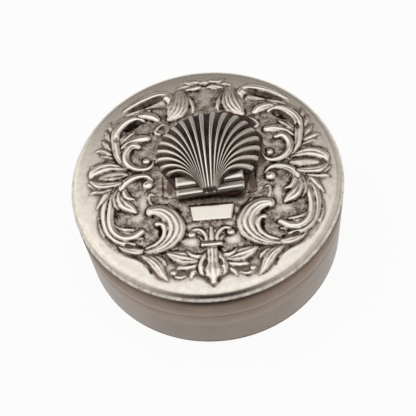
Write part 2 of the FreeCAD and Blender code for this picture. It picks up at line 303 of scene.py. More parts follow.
bandProfile = [(bezelOuter, bandLow.z), (outerRadius, bandLow.z), (outerRadius, seamZ), (bezelOuter, seamZ)]
turnedRing("baseBand", bandProfile, base["softEdge"], seamRange, satin, "base", "satin_silver", "base_band")

bezelInner = bezelOuter - base["bezelWall"]
bezelProfile = [(bezelInner, bezelLow.z), (bezelOuter, bezelLow.z),
                (bezelOuter, bezelHigh.z - base["bezelLead"]),
                (bezelOuter - base["bezelLead"], bezelHigh.z), (bezelInner, bezelHigh.z)]
turnedRing("bezelRing", bezelProfile, base["bezelSoft"], (bezelLow.z, bezelHigh.z + base["seamReach"]), drawn,
           "base", "inner_silver", "bezel_ring")


# Lid band

lid = {"clearance": 0.05, "softEdge": 0.12}

lidInner = bezelOuter + lid["clearance"]
lidProfile = [(lidInner, seamZ), (outerRadius, seamZ), (outerRadius, shoulderZ), (lidInner, shoulderZ)]
turnedRing("lidBand", lidProfile, lid["softEdge"], seamRange, satin, "lid", "satin_silver", "lid_band")


# Stamped scrollwork, in mm from the pattern's own axis: strokes of the left half, mirrored to the right.
# Each is (spine points from root to tip, half widths along it, height, flutes)

scrollwork = [
    # low bodies that the ridges of the stems stand on
    ([(-17.0, -0.8), (-19.2, -3.4), (-20.2, -7.0), (-19.9, -10.4), (-18.4, -12.9), (-16.0, -14.2),
      (-13.8, -13.6)], [.6, 1.0, 1.1, 1.3, 1.5, 1.2, .5], .35, 1),
    ([(-15.0, 2.2), (-17.6, 4.6), (-19.0, 8.0), (-19.4, 11.2), (-18.2, 13.8), (-15.8, 15.4), (-13.4, 15.0)],
     [.4, .8, 1.0, 1.1, 1.0, .8, .4], .3, 1),
    ([(-13.6, 18.2), (-11.0, 19.6), (-8.8, 19.8), (-7.6, 18.4)], [.6, 1.6, 1.5, .8], .3, 1),
    # border, outer ridge and fold of the lower stem
    ([(-21.9, -8.4), (-21.5, -10.8), (-20.6, -12.8), (-18.9, -14.9), (-16.9, -16.4), (-14.6, -17.4)],
     [.15, .3, .38, .42, .5, .3], .5, 1),
    ([(-18.2, -14.4), (-16.8, -15.9), (-14.6, -16.7), (-12.4, -16.7)], [.2, .62, .65, .3], .62, 2),
    ([(-18.6, -1.2), (-20.0, -3.6), (-20.7, -6.4), (-20.7, -9.2), (-19.9, -11.8), (-18.3, -13.9),
      (-16.5, -14.8), (-14.8, -15.1)], [.25, .55, .62, .62, .62, .6, .5, .25], .78, 1),
    # tongues at the end of the lower stem
    ([(-19.2, -9.6), (-18.4, -11.1), (-16.8, -11.7), (-14.9, -11.8)], [.2, .32, .35, .14], .6, 1),
    ([(-18.9, -11.2), (-17.6, -12.3), (-16.0, -12.7), (-14.3, -12.6)], [.25, .36, .36, .16], .66, 1),
    ([(-15.6, -13.9), (-14.3, -13.9), (-13.3, -13.9)], [.2, .36, .2], .55, 1),
    ([(-17.5, -1.4), (-19.0, -4.0), (-19.6, -7.0), (-19.6, -9.6), (-18.9, -11.9), (-17.2, -13.4),
      (-15.2, -13.5), (-13.4, -12.4)], [.35, .5, .55, .55, .55, .58, .65, .5], .88, 1),
    # leaf inside the lower stem
    ([(-18.3, -2.2), (-18.7, -4.4), (-18.5, -6.0), (-17.9, -7.2)], [.2, .42, .42, .12], .6, 1),
    ([(-17.5, -2.0), (-17.7, -4.2), (-16.9, -6.0), (-15.7, -7.0), (-14.7, -7.9)],
     [.3, .7, .95, .85, .35], .9, 2),
    ([(-17.0, -1.6), (-16.8, -3.3), (-16.1, -4.5), (-14.9, -4.9)], [.25, .48, .48, .18], .7, 1),
    ([(-17.6, -2.2), (-16.8, -0.9), (-15.4, 0.1), (-13.7, 0.5), (-12.2, 0.2), (-11.3, -0.8)],
     [.4, .68, .6, .5, .38, .18], .82, 1),
    # side palmette
    ([(-16.6, 1.2), (-18.2, 1.3), (-20.2, 1.2), (-21.6, 0.8)], [.3, .9, 1.0, .5], .5, 1),
    ([(-19.4, -1.6), (-20.6, -3.4), (-21.5, -5.0), (-22.4, -6.5)], [.25, .5, .42, .1], .62, 1),
    ([(-19.6, -2.0), (-21.4, -2.3), (-22.8, -2.5), (-23.9, -2.9)], [.3, .55, .42, .1], .66, 1),
    ([(-19.8, -1.3), (-21.8, -1.6), (-23.2, -1.2), (-24.3, -0.3)], [.3, .5, .45, .12], .66, 1),
    ([(-17.8, -0.8), (-20.2, -1.1), (-22.2, -0.9), (-23.9, 0.3)], [.35, .65, .7, .15], .75, 2),
    ([(-20.6, 4.0), (-22.2, 3.9), (-24.0, 3.5)], [.4, .5, .1], .62, 1),
    ([(-18.4, 3.3), (-19.6, 4.1), (-20.8, 4.7)], [.25, .6, .15], .72, 1),
    ([(-17.0, 2.7), (-18.7, 3.1), (-20.4, 3.3), (-22.2, 2.8), (-23.4, 2.0), (-23.9, 0.9)],
     [.3, .65, .9, .95, .8, .2], .85, 2),
    # small leaves along the rim
    ([(-19.3, 5.3), (-20.6, 6.1), (-22.0, 6.3)], [.2, .42, .12], .45, 1),
    ([(-19.5, 6.2), (-20.8, 7.0), (-22.0, 7.5), (-23.0, 7.5)], [.2, .5, .5, .15], .55, 1),
    ([(-19.9, 7.6), (-20.8, 8.9), (-21.8, 10.2)], [.25, .55, .12], .5, 1),
    ([(-20.1, 9.8), (-20.6, 11.3), (-21.0, 12.7)], [.2, .55, .12], .5, 1),
    ([(-19.9, 12.2), (-20.1, 13.4), (-20.0, 14.7)], [.2, .42, .1], .42, 1),
    # rays and bulb of the upper leaf
    ([(-18.2, 8.8), (-17.4, 10.2), (-16.9, 11.3)], [.25, .36, .1], .5, 1),
    ([(-17.9, 8.6), (-16.7, 10.1), (-15.7, 11.1), (-14.9, 11.9)], [.25, .4, .34, .1], .55, 1),
    ([(-17.4, 8.5), (-15.9, 9.9), (-14.6, 10.6), (-13.3, 10.8)], [.2, .34, .36, .12], .5, 1),
    ([(-17.6, 7.9), (-16.4, 8.9), (-15.0, 9.5), (-13.6, 9.8), (-12.5, 9.8)],
     [.25, .42, .6, .82, .68], .9, 1),
    # upper stem and its volute
    ([(-15.6, 2.3), (-17.3, 3.9), (-18.4, 5.8), (-18.8, 7.9), (-19.0, 9.8), (-18.9, 11.7), (-17.9, 13.4),
      (-16.4, 14.7), (-14.9, 15.2), (-13.6, 14.9), (-13.0, 14.4)],
     [.25, .45, .58, .66, .68, .75, .7, .62, .55, .5, .25], .85, 1),
    ([(-14.2, 7.8), (-15.3, 8.1), (-16.3, 7.3), (-16.8, 5.7), (-16.4, 4.0), (-15.2, 2.7), (-13.6, 2.1),
      (-12.2, 2.2), (-11.3, 3.0), (-11.0, 4.0)], [.5, .66, .62, .6, .58, .52, .45, .36, .28, .14], .85, 1),
    # folds at the back
    ([(-16.8, 16.3), (-14.8, 17.0), (-13.0, 17.6)], [.14, .36, .14], .4, 1),
    ([(-15.2, 16.2), (-13.4, 16.7), (-11.6, 17.2)], [.14, .34, .14], .4, 1),
    ([(-14.0, 15.9), (-12.6, 15.8), (-11.2, 15.3), (-10.3, 14.5)], [.35, .75, .85, .55], .9, 1),
    ([(-17.4, 17.3), (-15.2, 18.9), (-12.8, 20.2), (-10.6, 20.9), (-8.9, 20.9), (-7.9, 20.2), (-7.4, 19.3),
      (-7.3, 18.5), (-7.8, 17.6)], [.2, .5, .75, .85, .85, .8, .75, .65, .4], .88, 1),
    ([(-4.6, 20.9), (-3.8, 19.0), (-3.5, 17.2)], [.14, .28, .12], .35, 1),
    ([(-4.0, 20.6), (-3.0, 18.8), (-2.6, 17.1), (-2.7, 15.6)], [.18, .32, .32, .12], .45, 1),
    ([(-5.3, 21.0), (-5.3, 19.2), (-5.7, 17.3), (-6.4, 15.8), (-7.4, 14.5)],
     [.8, 1.35, 1.65, 1.5, .65], 1.0, 5),
    ([(-3.0, 23.2), (-4.4, 22.9), (-5.8, 22.4)], [.36, .36, .12], .4, 1),
    ([(-1.1, 23.9), (-2.2, 23.7), (-3.4, 23.7), (-4.3, 24.2)], [.2, .5, .45, .12], .55, 1),
    ([(-3.9, 21.9), (-2.6, 22.1), (-1.6, 22.3), (-0.7, 22.3)], [.2, .5, .6, .2], .62, 1),
    ([(-8.8, 13.4), (-10.0, 12.5), (-10.6, 11.6), (-10.4, 10.9), (-9.7, 10.7)],
     [.14, .28, .3, .3, .22], .42, 1),
    # lower scroll and its hook
    ([(-8.2, -6.7), (-7.0, -8.1), (-6.3, -10.0), (-6.1, -11.8), (-6.4, -13.6)],
     [.14, .3, .34, .3, .14], .5, 1),
    ([(-12.6, -17.0), (-10.4, -16.4), (-8.6, -15.2), (-7.4, -13.5), (-7.1, -11.6), (-7.9, -9.6),
      (-9.6, -8.2), (-11.4, -8.0)], [.35, .8, 1.25, 1.6, 1.65, 1.5, 1.2, .95], 1.05, 4),
    ([(-12.6, -16.2), (-10.8, -15.5), (-9.5, -14.3), (-9.0, -12.8), (-9.3, -11.4), (-10.3, -11.0)],
     [.2, .34, .38, .42, .5, .5], .75, 1),
    ([(-11.1, -4.2), (-11.7, -3.9), (-12.0, -4.7), (-11.8, -5.8), (-11.2, -6.6)],
     [.18, .22, .25, .25, .12], .32, 1),
    # leaf below the lower scroll
    ([(-12.8, -18.4), (-12.1, -19.6), (-11.3, -20.6)], [.35, .5, .12], .55, 1),
    ([(-11.6, -18.0), (-10.2, -18.6), (-9.4, -19.3), (-8.9, -20.1)], [.25, .45, .45, .12], .62, 1),
    ([(-13.2, -17.8), (-11.6, -18.9), (-10.4, -20.3), (-9.6, -21.9), (-8.5, -23.4)],
     [.3, .75, .85, .6, .12], .82, 3),
    # front palmette
    ([(-7.4, -22.0), (-6.9, -22.7), (-6.1, -22.9), (-5.0, -22.5)], [.36, .34, .32, .12], .52, 1),
    ([(-2.0, -20.2), (-3.0, -21.1), (-3.8, -22.2), (-4.4, -23.3)], [.3, .5, .45, .1], .58, 1),
    ([(-1.7, -19.7), (-3.5, -20.3), (-5.2, -20.6), (-6.8, -21.1)], [.4, .75, .9, .12], .8, 2),
    ([(-1.4, -19.0), (-3.6, -19.2), (-5.6, -18.8), (-7.2, -18.2), (-8.7, -17.5)],
     [.4, .8, 1.15, .85, .12], .9, 3),
    ([(-1.0, -18.5), (-2.6, -18.7), (-3.9, -18.3), (-4.7, -17.4)], [.28, .4, .4, .14], .6, 1),
    ([(-0.9, -18.0), (-1.7, -19.4), (-2.1, -20.9), (-1.8, -22.2), (-1.3, -23.2)],
     [.4, .5, .62, .7, .12], .85, 1),
    # fleur above the collar
    ([(-1.7, -15.6), (-2.0, -14.8), (-2.8, -14.2)], [.18, .2, .1], .28, 1),
    ([(-0.5, -15.8), (-0.65, -14.4), (-0.75, -12.9)], [.24, .26, .1], .42, 1),
    ([(-0.9, -15.7), (-1.1, -14.3), (-1.8, -13.2), (-2.8, -12.8), (-3.6, -13.2), (-3.8, -14.0)],
     [.32, .34, .33, .33, .4, .5], .6, 1),
]
middlework = [    # on the axis itself, not mirrored
    ([(0, -15.7), (0, -14.2), (0, -12.4)], [.42, .38, .2], .6, 1),
    ([(0, -17.0), (0, -18.6), (0, -20.2), (0, -21.8), (0, -23.2), (0, -24.9)],
     [.8, .8, .85, 1.3, 1.15, .12], 1.1, 3),
    ([(-1.5, -16.3), (1.5, -16.3)], [.5, .5], .85, 1),
]
beads = [    # x, y, radius, height
    (-12.2, -1.7, .82, .8), (-12.5, 4.1, .6, .7), (-7.45, -21.8, .5, .6), (-3.75, -13.9, .58, .65),
]
hollows = [    # x, y, half length, half width, turn in degrees, depth
    (-15.9, -15.4, .9, .48, -20, .55), (-13.7, -15.6, .55, .38, -20, .4), (-1.5, -20.2, .8, .42, 70, .5),
    (-22.9, .7, .6, .5, 20, .3), (-12.2, 19.0, 4.6, .85, 24, .5), (-15.4, 13.3, 2.2, .85, 35, .4),
    (-18.7, 10.0, .55, .8, 0, .3), (-10.5, -9.6, 1.3, .4, -30, .35), (-9.9, -12.6, .45, 1.3, 0, .3),
    (0, 23.0, 1.6, .6, 0, .25), (-.95, -23.7, .8, .35, -60, .3),
]
engraved = [    # fine cut lines: points, half width, depth
    ([(-9.2, -0.3), (-9.15, -2.6), (-9.1, -4.8), (-6.8, -5.1)], .14, .16),
    ([(-4.3, -17.1), (-3.5, -18.0), (-2.3, -18.1), (-1.4, -17.2)], .13, .16),
    ([(-20.6, -13.1), (-18.6, -15.4), (-16.4, -17.0), (-14.0, -18.2), (-12.4, -19.6),
      (-11.6, -21.2)], .25, .3),
]
rubbed = [    # ground polished bright: x, y, half length, half width, turn in degrees, gain
    (-13.3, -6.0, 2.6, .9, 90, .34), (-14.3, -9.4, 1.8, 1.0, 0, .3), (-4.0, -15.6, 1.7, 1.2, 0, .42),
    (-3.6, -12.0, 1.2, .5, 0, .25), (0, -7.5, 4.6, .7, 0, -.3), (0, 19.4, 2.6, 1.7, 90, .2),
    (-11.9, 8.6, 3.4, .9, 90, .1),
]
residue = [    # dried cement on the ground, in place on the lid: x, y, half length, half width, turn, amount
    (-7.2, -2.8, 2.4, .9, 90, .8), (9.2, -3.0, 2.6, 1.0, 90, .8), (0.5, -6.6, 6.5, .8, 0, .45),
    (11.2, 4.6, 4.5, .7, 95, .8), (9.2, 12.6, 2.6, 1.0, -40, .9), (-10.0, 8.0, 4.0, .6, 75, .4),
]

# Plain panel, relief, polish and grime of the stamping, in mm and as shares of full brightness

panel = {"corners": [(-4.1, -7.4), (-3.6, -11.05), (4.0, -11.0), (4.7, -7.3)], "rise": 0.2, "soft": 0.2,
         "gain": 0.45, "edge": 0.16, "edgeDark": 0.3}
die = {"cell": 0.08, "reach": 26.0, "axis": 0.7, "swell": 1.38, "sink": 0.6, "domeSide": 2.5, "domeTop": 0.8,
       "trench": 0.26, "held": 0.5, "shown": 0.1, "fluteDepth": 0.35, "fluteDark": 0.8, "fluteFade": 0.85,
       "fluteReach": 0.85, "fluteSharp": 4, "foldAt": 0.35, "foldFrom": 0.6, "foldWide": 0.14,
       "outline": 0.15, "outlineFull": 0.5, "outlineLeast": 0.3, "innerLine": 0.25, "beadStub": 0.01,
       "hollowPower": 0.6, "hollowDark": 1.5, "smooth": 0.08, "thinnest": 0.02, "spotMargin": 0.5,
       "lineMargin": 4}
polish = {"ground": 0.55, "cavity": 1.5, "cavitySize": 0.5, "height": 0.75, "deepest": -0.4, "outline": 0.46,
          "rim": 0.33, "rimHeight": 0.12, "groundRadius": 22.3, "rimBlend": 0.8}
grime = {"power": 0.7, "raised": 0.3, "cleaned": 0.8, "haloSize": 0.8, "haloFrom": 18.0, "haloBlend": 4.0,
         "haloGain": 1.3}


def smoothLine(points, perSpan=7):    # Catmull-Rom line through a few points
    p = np.array([points[0], *points, points[-1]], float)
    out = []
    for a, b, c, d in zip(p, p[1:], p[2:], p[3:]):
        for t in np.linspace(0, 1, perSpan, endpoint=False):
            out.append(0.5 * (2 * b + (c - a) * t + (2 * a - 5 * b + 4 * c - d) * t * t
                              + (3 * b - a - 3 * c + d) * t ** 3))
    out.append(p[-1])
    return np.array(out)


def dieWindow(low, high):    # cells of the die between two corners
    count = int(2 * die["reach"] / die["cell"]) + 1
    lo = np.clip(((np.array(low) + die["reach"]) / die["cell"]).astype(int), 0, count - 1)
    hi = np.clip(((np.array(high) + die["reach"]) / die["cell"]).astype(int) + 2, 1, count)
    xs = np.arange(lo[0], hi[0]) * die["cell"] - die["reach"]
    ys = np.arange(lo[1], hi[1]) * die["cell"] - die["reach"]
    x, y = np.meshgrid(xs, ys)
    return (slice(lo[1], hi[1]), slice(lo[0], hi[0])), x, y


def nearLine(line, x, y):    # distance to a line, the side it lies on, and how far along
    best = np.full(x.shape, 1e9)
    side = np.zeros(x.shape)
    along = np.zeros(x.shape)
    for k, (a, b) in enumerate(zip(line, line[1:])):
        d = b - a
        t = np.clip(((x - a[0]) * d[0] + (y - a[1]) * d[1]) / (d @ d + 1e-12), 0, 1)
        ex, ey = x - a[0] - t * d[0], y - a[1] - t * d[1]
        gap = np.hypot(ex, ey)
        near = gap < best
        best = np.where(near, gap, best)
        side = np.where(near, np.sign(d[0] * ey - d[1] * ex), side)
        along = np.where(near, k + t, along)
    return best, side, along


def cutStroke(height, ink, spine, widths, rise, flutes):    # one ridge, over what is already there
    line = smoothLine(spine)
    widths = [w * die["swell"] for w in widths]
    wide = np.interp(np.linspace(0, 1, len(line)), np.linspace(0, 1, len(widths)), widths)
    margin = max(widths) + 2 * die["trench"]
    window, x, y = dieWindow(line.min(0) - margin, line.max(0) + margin)
    gap, side, along = nearLine(line, x, y)
    w = np.interp(along, np.arange(len(line)), wide)
    u = gap / np.maximum(w, die["thinnest"])
    share = along / (len(line) - 1)
    dome = np.clip(1 - np.minimum(u, 1) ** die["domeSide"], 0, 1) ** die["domeTop"]
    if flutes > 1:
        flute = np.cos(math.pi * flutes * (u * side + 1) / 2) ** die["fluteSharp"]
        groove = flute * (1 - die["fluteFade"] * share ** 2)
    else:
        fold = np.exp(-((u * side - die["foldAt"]) / die["foldWide"]) ** 2)
        groove = fold * (w > die["foldFrom"]) * (1 - share ** 3)
    form = die["sink"] * rise * (w / max(widths)) ** 0.5 * dome * (1 - die["fluteDepth"] * groove)
    edge = np.clip((gap - w) / die["trench"], 0, 1)
    held = height[window]
    lowered = held * np.where(u < 1, die["held"], die["held"] + (1 - die["held"]) * edge)
    height[window] = np.where(u < 1, np.maximum(lowered, form + die["shown"] * held), lowered)
    strength = np.clip(rise / die["outlineFull"], die["outlineLeast"], 1)
    rimLine = np.exp(-((gap - w) / die["outline"]) ** 2) * strength
    inside = np.maximum(die["fluteDark"] * groove * (u < die["fluteReach"]), rimLine * die["innerLine"])
    ink[window] = np.where(u < 1, inside, np.maximum(ink[window], rimLine))


def cutLine(height, points, wide, depth):    # engraved line
    line = smoothLine(points)
    margin = die["lineMargin"] * wide
    window, x, y = dieWindow(line.min(0) - margin, line.max(0) + margin)
    gap = nearLine(line, x, y)[0]
    height[window] -= depth * np.exp(-(gap / wide) ** 2)


def addSpot(field, x0, y0, long, wide, turn, amount, power):    # soft oval patch
    reach = max(long, wide) + die["spotMargin"]
    window, x, y = dieWindow((x0 - reach, y0 - reach), (x0 + reach, y0 + reach))
    c, s = math.cos(math.radians(turn)), math.sin(math.radians(turn))
    u = ((x - x0) * c + (y - y0) * s) / long
    v = (-(x - x0) * s + (y - y0) * c) / wide
    field[window] += amount * np.clip(1 - u * u - v * v, 0, 1) ** power


def panelGap(x, y):    # how far outside the plain panel a point lies, below 0 inside
    corners = panel["corners"]
    gaps = []
    for (x0, y0), (x1, y1) in zip(corners, corners[1:] + corners[:1]):
        long = math.hypot(x1 - x0, y1 - y0)
        gaps.append(((x - x0) * (y1 - y0) - (y - y0) * (x1 - x0)) / long)
    return np.maximum.reduce(gaps)


def blur(field, size):    # three box passes
    k = max(1, int(size / die["cell"]))
    for _ in range(3):
        for axis in (0, 1):
            pad = [(k, k) if a == axis else (0, 0) for a in (0, 1)]
            total = np.cumsum(np.pad(field, pad, mode="edge"), axis=axis)
            upper = np.take(total, np.arange(2 * k, total.shape[axis]), axis=axis)
            lower = np.take(total, np.arange(0, total.shape[axis] - 2 * k), axis=axis)
            field = (upper - lower) / (2 * k)
    return field


def mirrored(points):    # the other half of the pattern
    return [(-x, y) for x, y in points]


def sides(x):    # once on the axis, else left and right
    return (1,) if x == 0 else (1, -1)


def layDie():    # height, wear and crust of the stamped sheet
    count = int(2 * die["reach"] / die["cell"]) + 1
    cells = np.arange(count) * die["cell"] - die["reach"]
    x, y = np.meshgrid(cells, cells)
    height = np.zeros((count, count))
    ink = np.zeros_like(height)
    for spine, widths, rise, flutes in scrollwork:
        for points in (spine, mirrored(spine)):
            cutStroke(height, ink, points, widths, rise, flutes)
    for spine, widths, rise, flutes in middlework:
        cutStroke(height, ink, spine, widths, rise, flutes)
    for bx, by, radius, rise in beads:
        for flip in (1, -1):
            stub = [(flip * bx, by), (flip * bx + die["beadStub"], by)]
            cutStroke(height, ink, stub, [radius, radius], rise, 1)
    for hx, hy, long, wide, turn, depth in hollows:
        for flip in sides(hx):
            where = (flip * hx, hy, long, wide, flip * turn)
            addSpot(height, *where, -depth, die["hollowPower"])
            addSpot(ink, *where, die["hollowDark"] * depth, die["hollowPower"])
    for points, wide, depth in engraved:
        for line in (points, mirrored(points)):
            cutLine(height, line, wide, depth)
    outside = panelGap(x, y)
    plate = np.clip(-outside / panel["soft"], 0, 1)
    height += panel["rise"] * plate
    height = blur(height, die["smooth"])
    cavity = height - blur(height, polish["cavitySize"])
    ground = np.clip((polish["groundRadius"] - np.hypot(x, y)) / polish["rimBlend"], 0, 1)
    plain = np.clip(1 - height / polish["rimHeight"], 0, 1) * (1 - ground)
    wear = (polish["ground"] + polish["cavity"] * cavity
            + polish["height"] * np.clip(height, polish["deepest"], 1)
            - polish["outline"] * blur(ink, die["smooth"]))
    wear += plain * polish["rim"] + panel["gain"] * plate
    wear -= panel["edgeDark"] * np.exp(-(outside / panel["edge"]) ** 2)
    for rx, ry, long, wide, turn, gain in rubbed:
        for flip in sides(rx):
            addSpot(wear, flip * rx, ry, long, wide, flip * turn, gain, 1.0)
    crust = np.zeros_like(height)
    for rx, ry, long, wide, turn, amount in residue:
        addSpot(crust, rx - die["axis"], ry, long, wide, turn, amount, grime["power"])
    raised = np.clip(height / grime["raised"], 0, 1)
    outward = np.clip((np.hypot(x + die["axis"], y) - grime["haloFrom"]) / grime["haloBlend"], 0, 1)
    halo = np.clip(blur(raised, grime["haloSize"]) - raised, 0, 1) * outward
    crust = np.clip(crust, 0, 1) * (1 - grime["cleaned"] * raised) + grime["haloGain"] * halo
    print("die: height", round(float(height.min()), 2), "to", round(float(height.max()), 2))
    return height, np.clip(wear, 0, 1), np.clip(crust, 0, 1)


def sampleDie(field, x, y):    # bilinear reading at points
    fx = np.clip((x + die["reach"]) / die["cell"], 0, field.shape[1] - 2)
    fy = np.clip((y + die["reach"]) / die["cell"], 0, field.shape[0] - 2)
    ix, iy = fx.astype(int), fy.astype(int)
    tx, ty = fx - ix, fy - iy
    top = field[iy, ix] * (1 - tx) + field[iy, ix + 1] * tx
    low = field[iy + 1, ix] * (1 - tx) + field[iy + 1, ix + 1] * tx
    return top * (1 - ty) + low * ty


lidTop = {"steps": 640, "coreRadius": 5.6, "coreRings": 8, "reliefRings": 128, "reliefRadius": 25.3,
          "shoulderReach": 1.9, "shoulderRings": 16, "rimStart": 21.5, "rimFall": 0.18, "sheet": 0.7,
          "topMargin": 0.2, "fillet": 0.4, "underRing": 12.0, "rimWear": 0.9, "edgeTone": 0.52,
          "edgeFall": 1.5}


def stampedLid():
    flatEdge = outerRadius - lidTop["shoulderReach"]
    span = flatEdge - lidTop["rimStart"]
    radii = list(np.linspace(0, lidTop["coreRadius"], lidTop["coreRings"], endpoint=False))
    radii += list(np.linspace(lidTop["coreRadius"], lidTop["reliefRadius"], lidTop["reliefRings"]))
    profile = []
    for r in radii:
        out = max(0, (r - lidTop["rimStart"]) / span)
        profile.append((r, lidFlatZ - lidTop["rimFall"] * out ** 2))
    drop = lidFlatZ - lidTop["rimFall"] - shoulderZ
    for k in range(lidTop["shoulderRings"] + 1):
        a = 0.5 * math.pi * k / lidTop["shoulderRings"]
        profile.append((flatEdge + lidTop["shoulderReach"] * math.sin(a), shoulderZ + drop * math.cos(a)))
    under = lidFlatZ - lidTop["sheet"]
    profile += [(lidInner, shoulderZ), (lidInner, under - lidTop["fillet"]),
                (lidInner - lidTop["fillet"], under), (lidTop["underRing"], under), (0, under)]
    bm = bmesh.new()
    latheProfile(bm, profile, lidTop["steps"])
    height, wear, crust = layDie()
    co = np.array([v.co for v in bm.verts])
    x, y = co[:, 0] - die["axis"], co[:, 1]
    top = (co[:, 2] > under + lidTop["topMargin"]) & (np.hypot(co[:, 0], co[:, 1]) < lidTop["reliefRadius"])
    lift = np.where(top, sampleDie(height, x, y), 0)
    # the shoulder's value runs darker towards its lower edge
    down = np.clip((lidFlatZ - lidTop["rimFall"] - co[:, 2]) / (lidFlatZ - shoulderZ), 0, 1)
    shoulder = lidTop["rimWear"] + (lidTop["edgeTone"] - lidTop["rimWear"]) * down ** lidTop["edgeFall"]
    for vert, up in zip(bm.verts, lift):
        vert.co.z += up
    piece = finishMesh(bm, "lidTop", stamped, "lid", "stamped_silver", "lid_top")
    addMark(piece, "wear", np.where(top, sampleDie(wear, x, y), shoulder))
    addMark(piece, "crust", np.where(top, sampleDie(crust, x, y), 0))


stampedLid()


# Scallop shell: ribbed fan over two rolled bars at its hinge, in the shell's own frame

shell = {"hinge": (0.95, -5.95), "turn": 2.0, "tilt": 0.5, "roll": 4.5, "lift": 0.1, "ribs": 19, "perRib": 12,
         "along": 48, "fan": (10.75, 10.1), "fanCentre": 10.25, "angles": (-126, -3, 133), "trim": 0.13,
         "trimFrom": -95, "trimSpan": 31, "umbo": (-0.8, 0.9), "umboHalf": 1.3, "crowd": 2.0,
         "crowdFall": 4, "spring": 0.2, "reach": 0.66, "ridge": (2.4, 4.8, 0.95), "groove": (2.1, 3.8, 0.3),
         "land": 0.13, "flank": 0.23, "lobe": 0.3, "nose": 0.07, "noseDrop": 0.45, "barHalf": 6.7,
         "barGrid": (24, 10), "bars": [(0.0, 1.95, 1.3), (2.0, 5.0, 1.55)],
         "barForm": ((0, 0.12, 0.3, 0.8, 1), (0.7, 0.96, 1, 0.9, 0.5)),
         "pearls": [(-0.75, 0.05, 1.05), (0.8, 0.05, 1.05)], "pearlRadius": 0.3}
# Shell wear: dark grooves and rubbed crests, plus painted light: a painted highlight near the umbo, painted
# shade on the back rib tips, a painted highlight and shade across each bar
shellWear = {"groove": 0.12, "umbo": 0.3, "umboHighlightReach": 0.2, "crest": 1.0, "crestPower": 1.2, "backTipShade": 0.3,
             "tipFrom": 0.5, "length": 20, "hinge": 0.45, "hingeReach": 0.04, "skirt": 0.25, "pearl": 0.8,
             "barWearAndPaintedLight": ((0, 0.12, 0.4, 0.8, 1), (0.6, 0.95, 0.8, 0.7, 0.15))}


def shellSeat():    # from the shell's own frame to the lid
    tilt, roll, turn = (math.radians(shell[k]) for k in ("tilt", "roll", "turn"))
    rise = shell["lift"] + shell["fanCentre"] * math.sin(tilt) + math.hypot(
        shell["fan"][0] * math.sin(roll), shell["fan"][1] * math.sin(tilt))
    place = Matrix.Translation((*shell["hinge"], lidFlatZ + rise)) @ Matrix.Rotation(turn, 4, "Z")
    return place @ Matrix.Rotation(-roll, 4, "Y") @ Matrix.Rotation(-tilt, 4, "X")


def ribPoint(across, along):    # point on the fan, and how high up its rib it is
    theta = math.radians(np.interp(across, (0, 0.5, 1), shell["angles"]))
    spring = theta * shell["spring"]
    offCentre = abs((across * shell["ribs"]) % 1 - 0.5)
    slope = min(max((shell["land"] + shell["flank"] - offCentre) / shell["flank"], 0), 1)
    aside = math.tanh(shell["crowd"] * theta)
    clear = 1 - (1 - along) ** shell["crowdFall"] * aside ** 2    # crowded ribs run together
    crest = 0.5 + (slope * slope * (3 - 2 * slope) - 0.5) * clear
    y0, r0 = shell["umbo"]
    start = Vector((shell["umboHalf"] * aside, y0 + r0 * math.cos(spring)))
    lobe = shell["lobe"] * (crest - 1)
    cut = (shell["trimFrom"] - math.degrees(theta)) / shell["trimSpan"]    # the lower left is cut shorter
    size = 1 - shell["trim"] * min(max(cut, 0), 1)
    end = Vector(((shell["fan"][0] + lobe) * size * math.sin(theta),
                  shell["fanCentre"] + (shell["fan"][1] + lobe) * size * math.cos(theta)))
    middle = start + Vector((math.sin(spring), math.cos(spring))) * shell["reach"] * (end - start).length
    a, b, c = (1 - along) ** 2, 2 * along * (1 - along), along ** 2
    flat = start * a + middle * b + end * c
    heights = [low + (high - low) * crest for low, high in zip(shell["groove"], shell["ridge"])]
    z = heights[0] * a + heights[1] * b + heights[2] * c
    tip = max(0, (along - 1 + shell["nose"]) / shell["nose"])
    return Vector((flat.x, flat.y, z * (1 - shell["noseDrop"] * tip ** 2 * crest))), crest


def dropSkirt(bm, layer):    # walls from the open border down to the seat, and the underside
    rim = [e for e in bm.edges if e.is_boundary]
    for vert in bmesh.ops.extrude_edge_only(bm, edges=rim)["geom"]:
        if isinstance(vert, bmesh.types.BMVert):
            vert.co.z = 0
            vert[layer] = shellWear["skirt"]
    bmesh.ops.holes_fill(bm, edges=[e for e in bm.edges if e.is_boundary], sides=0)


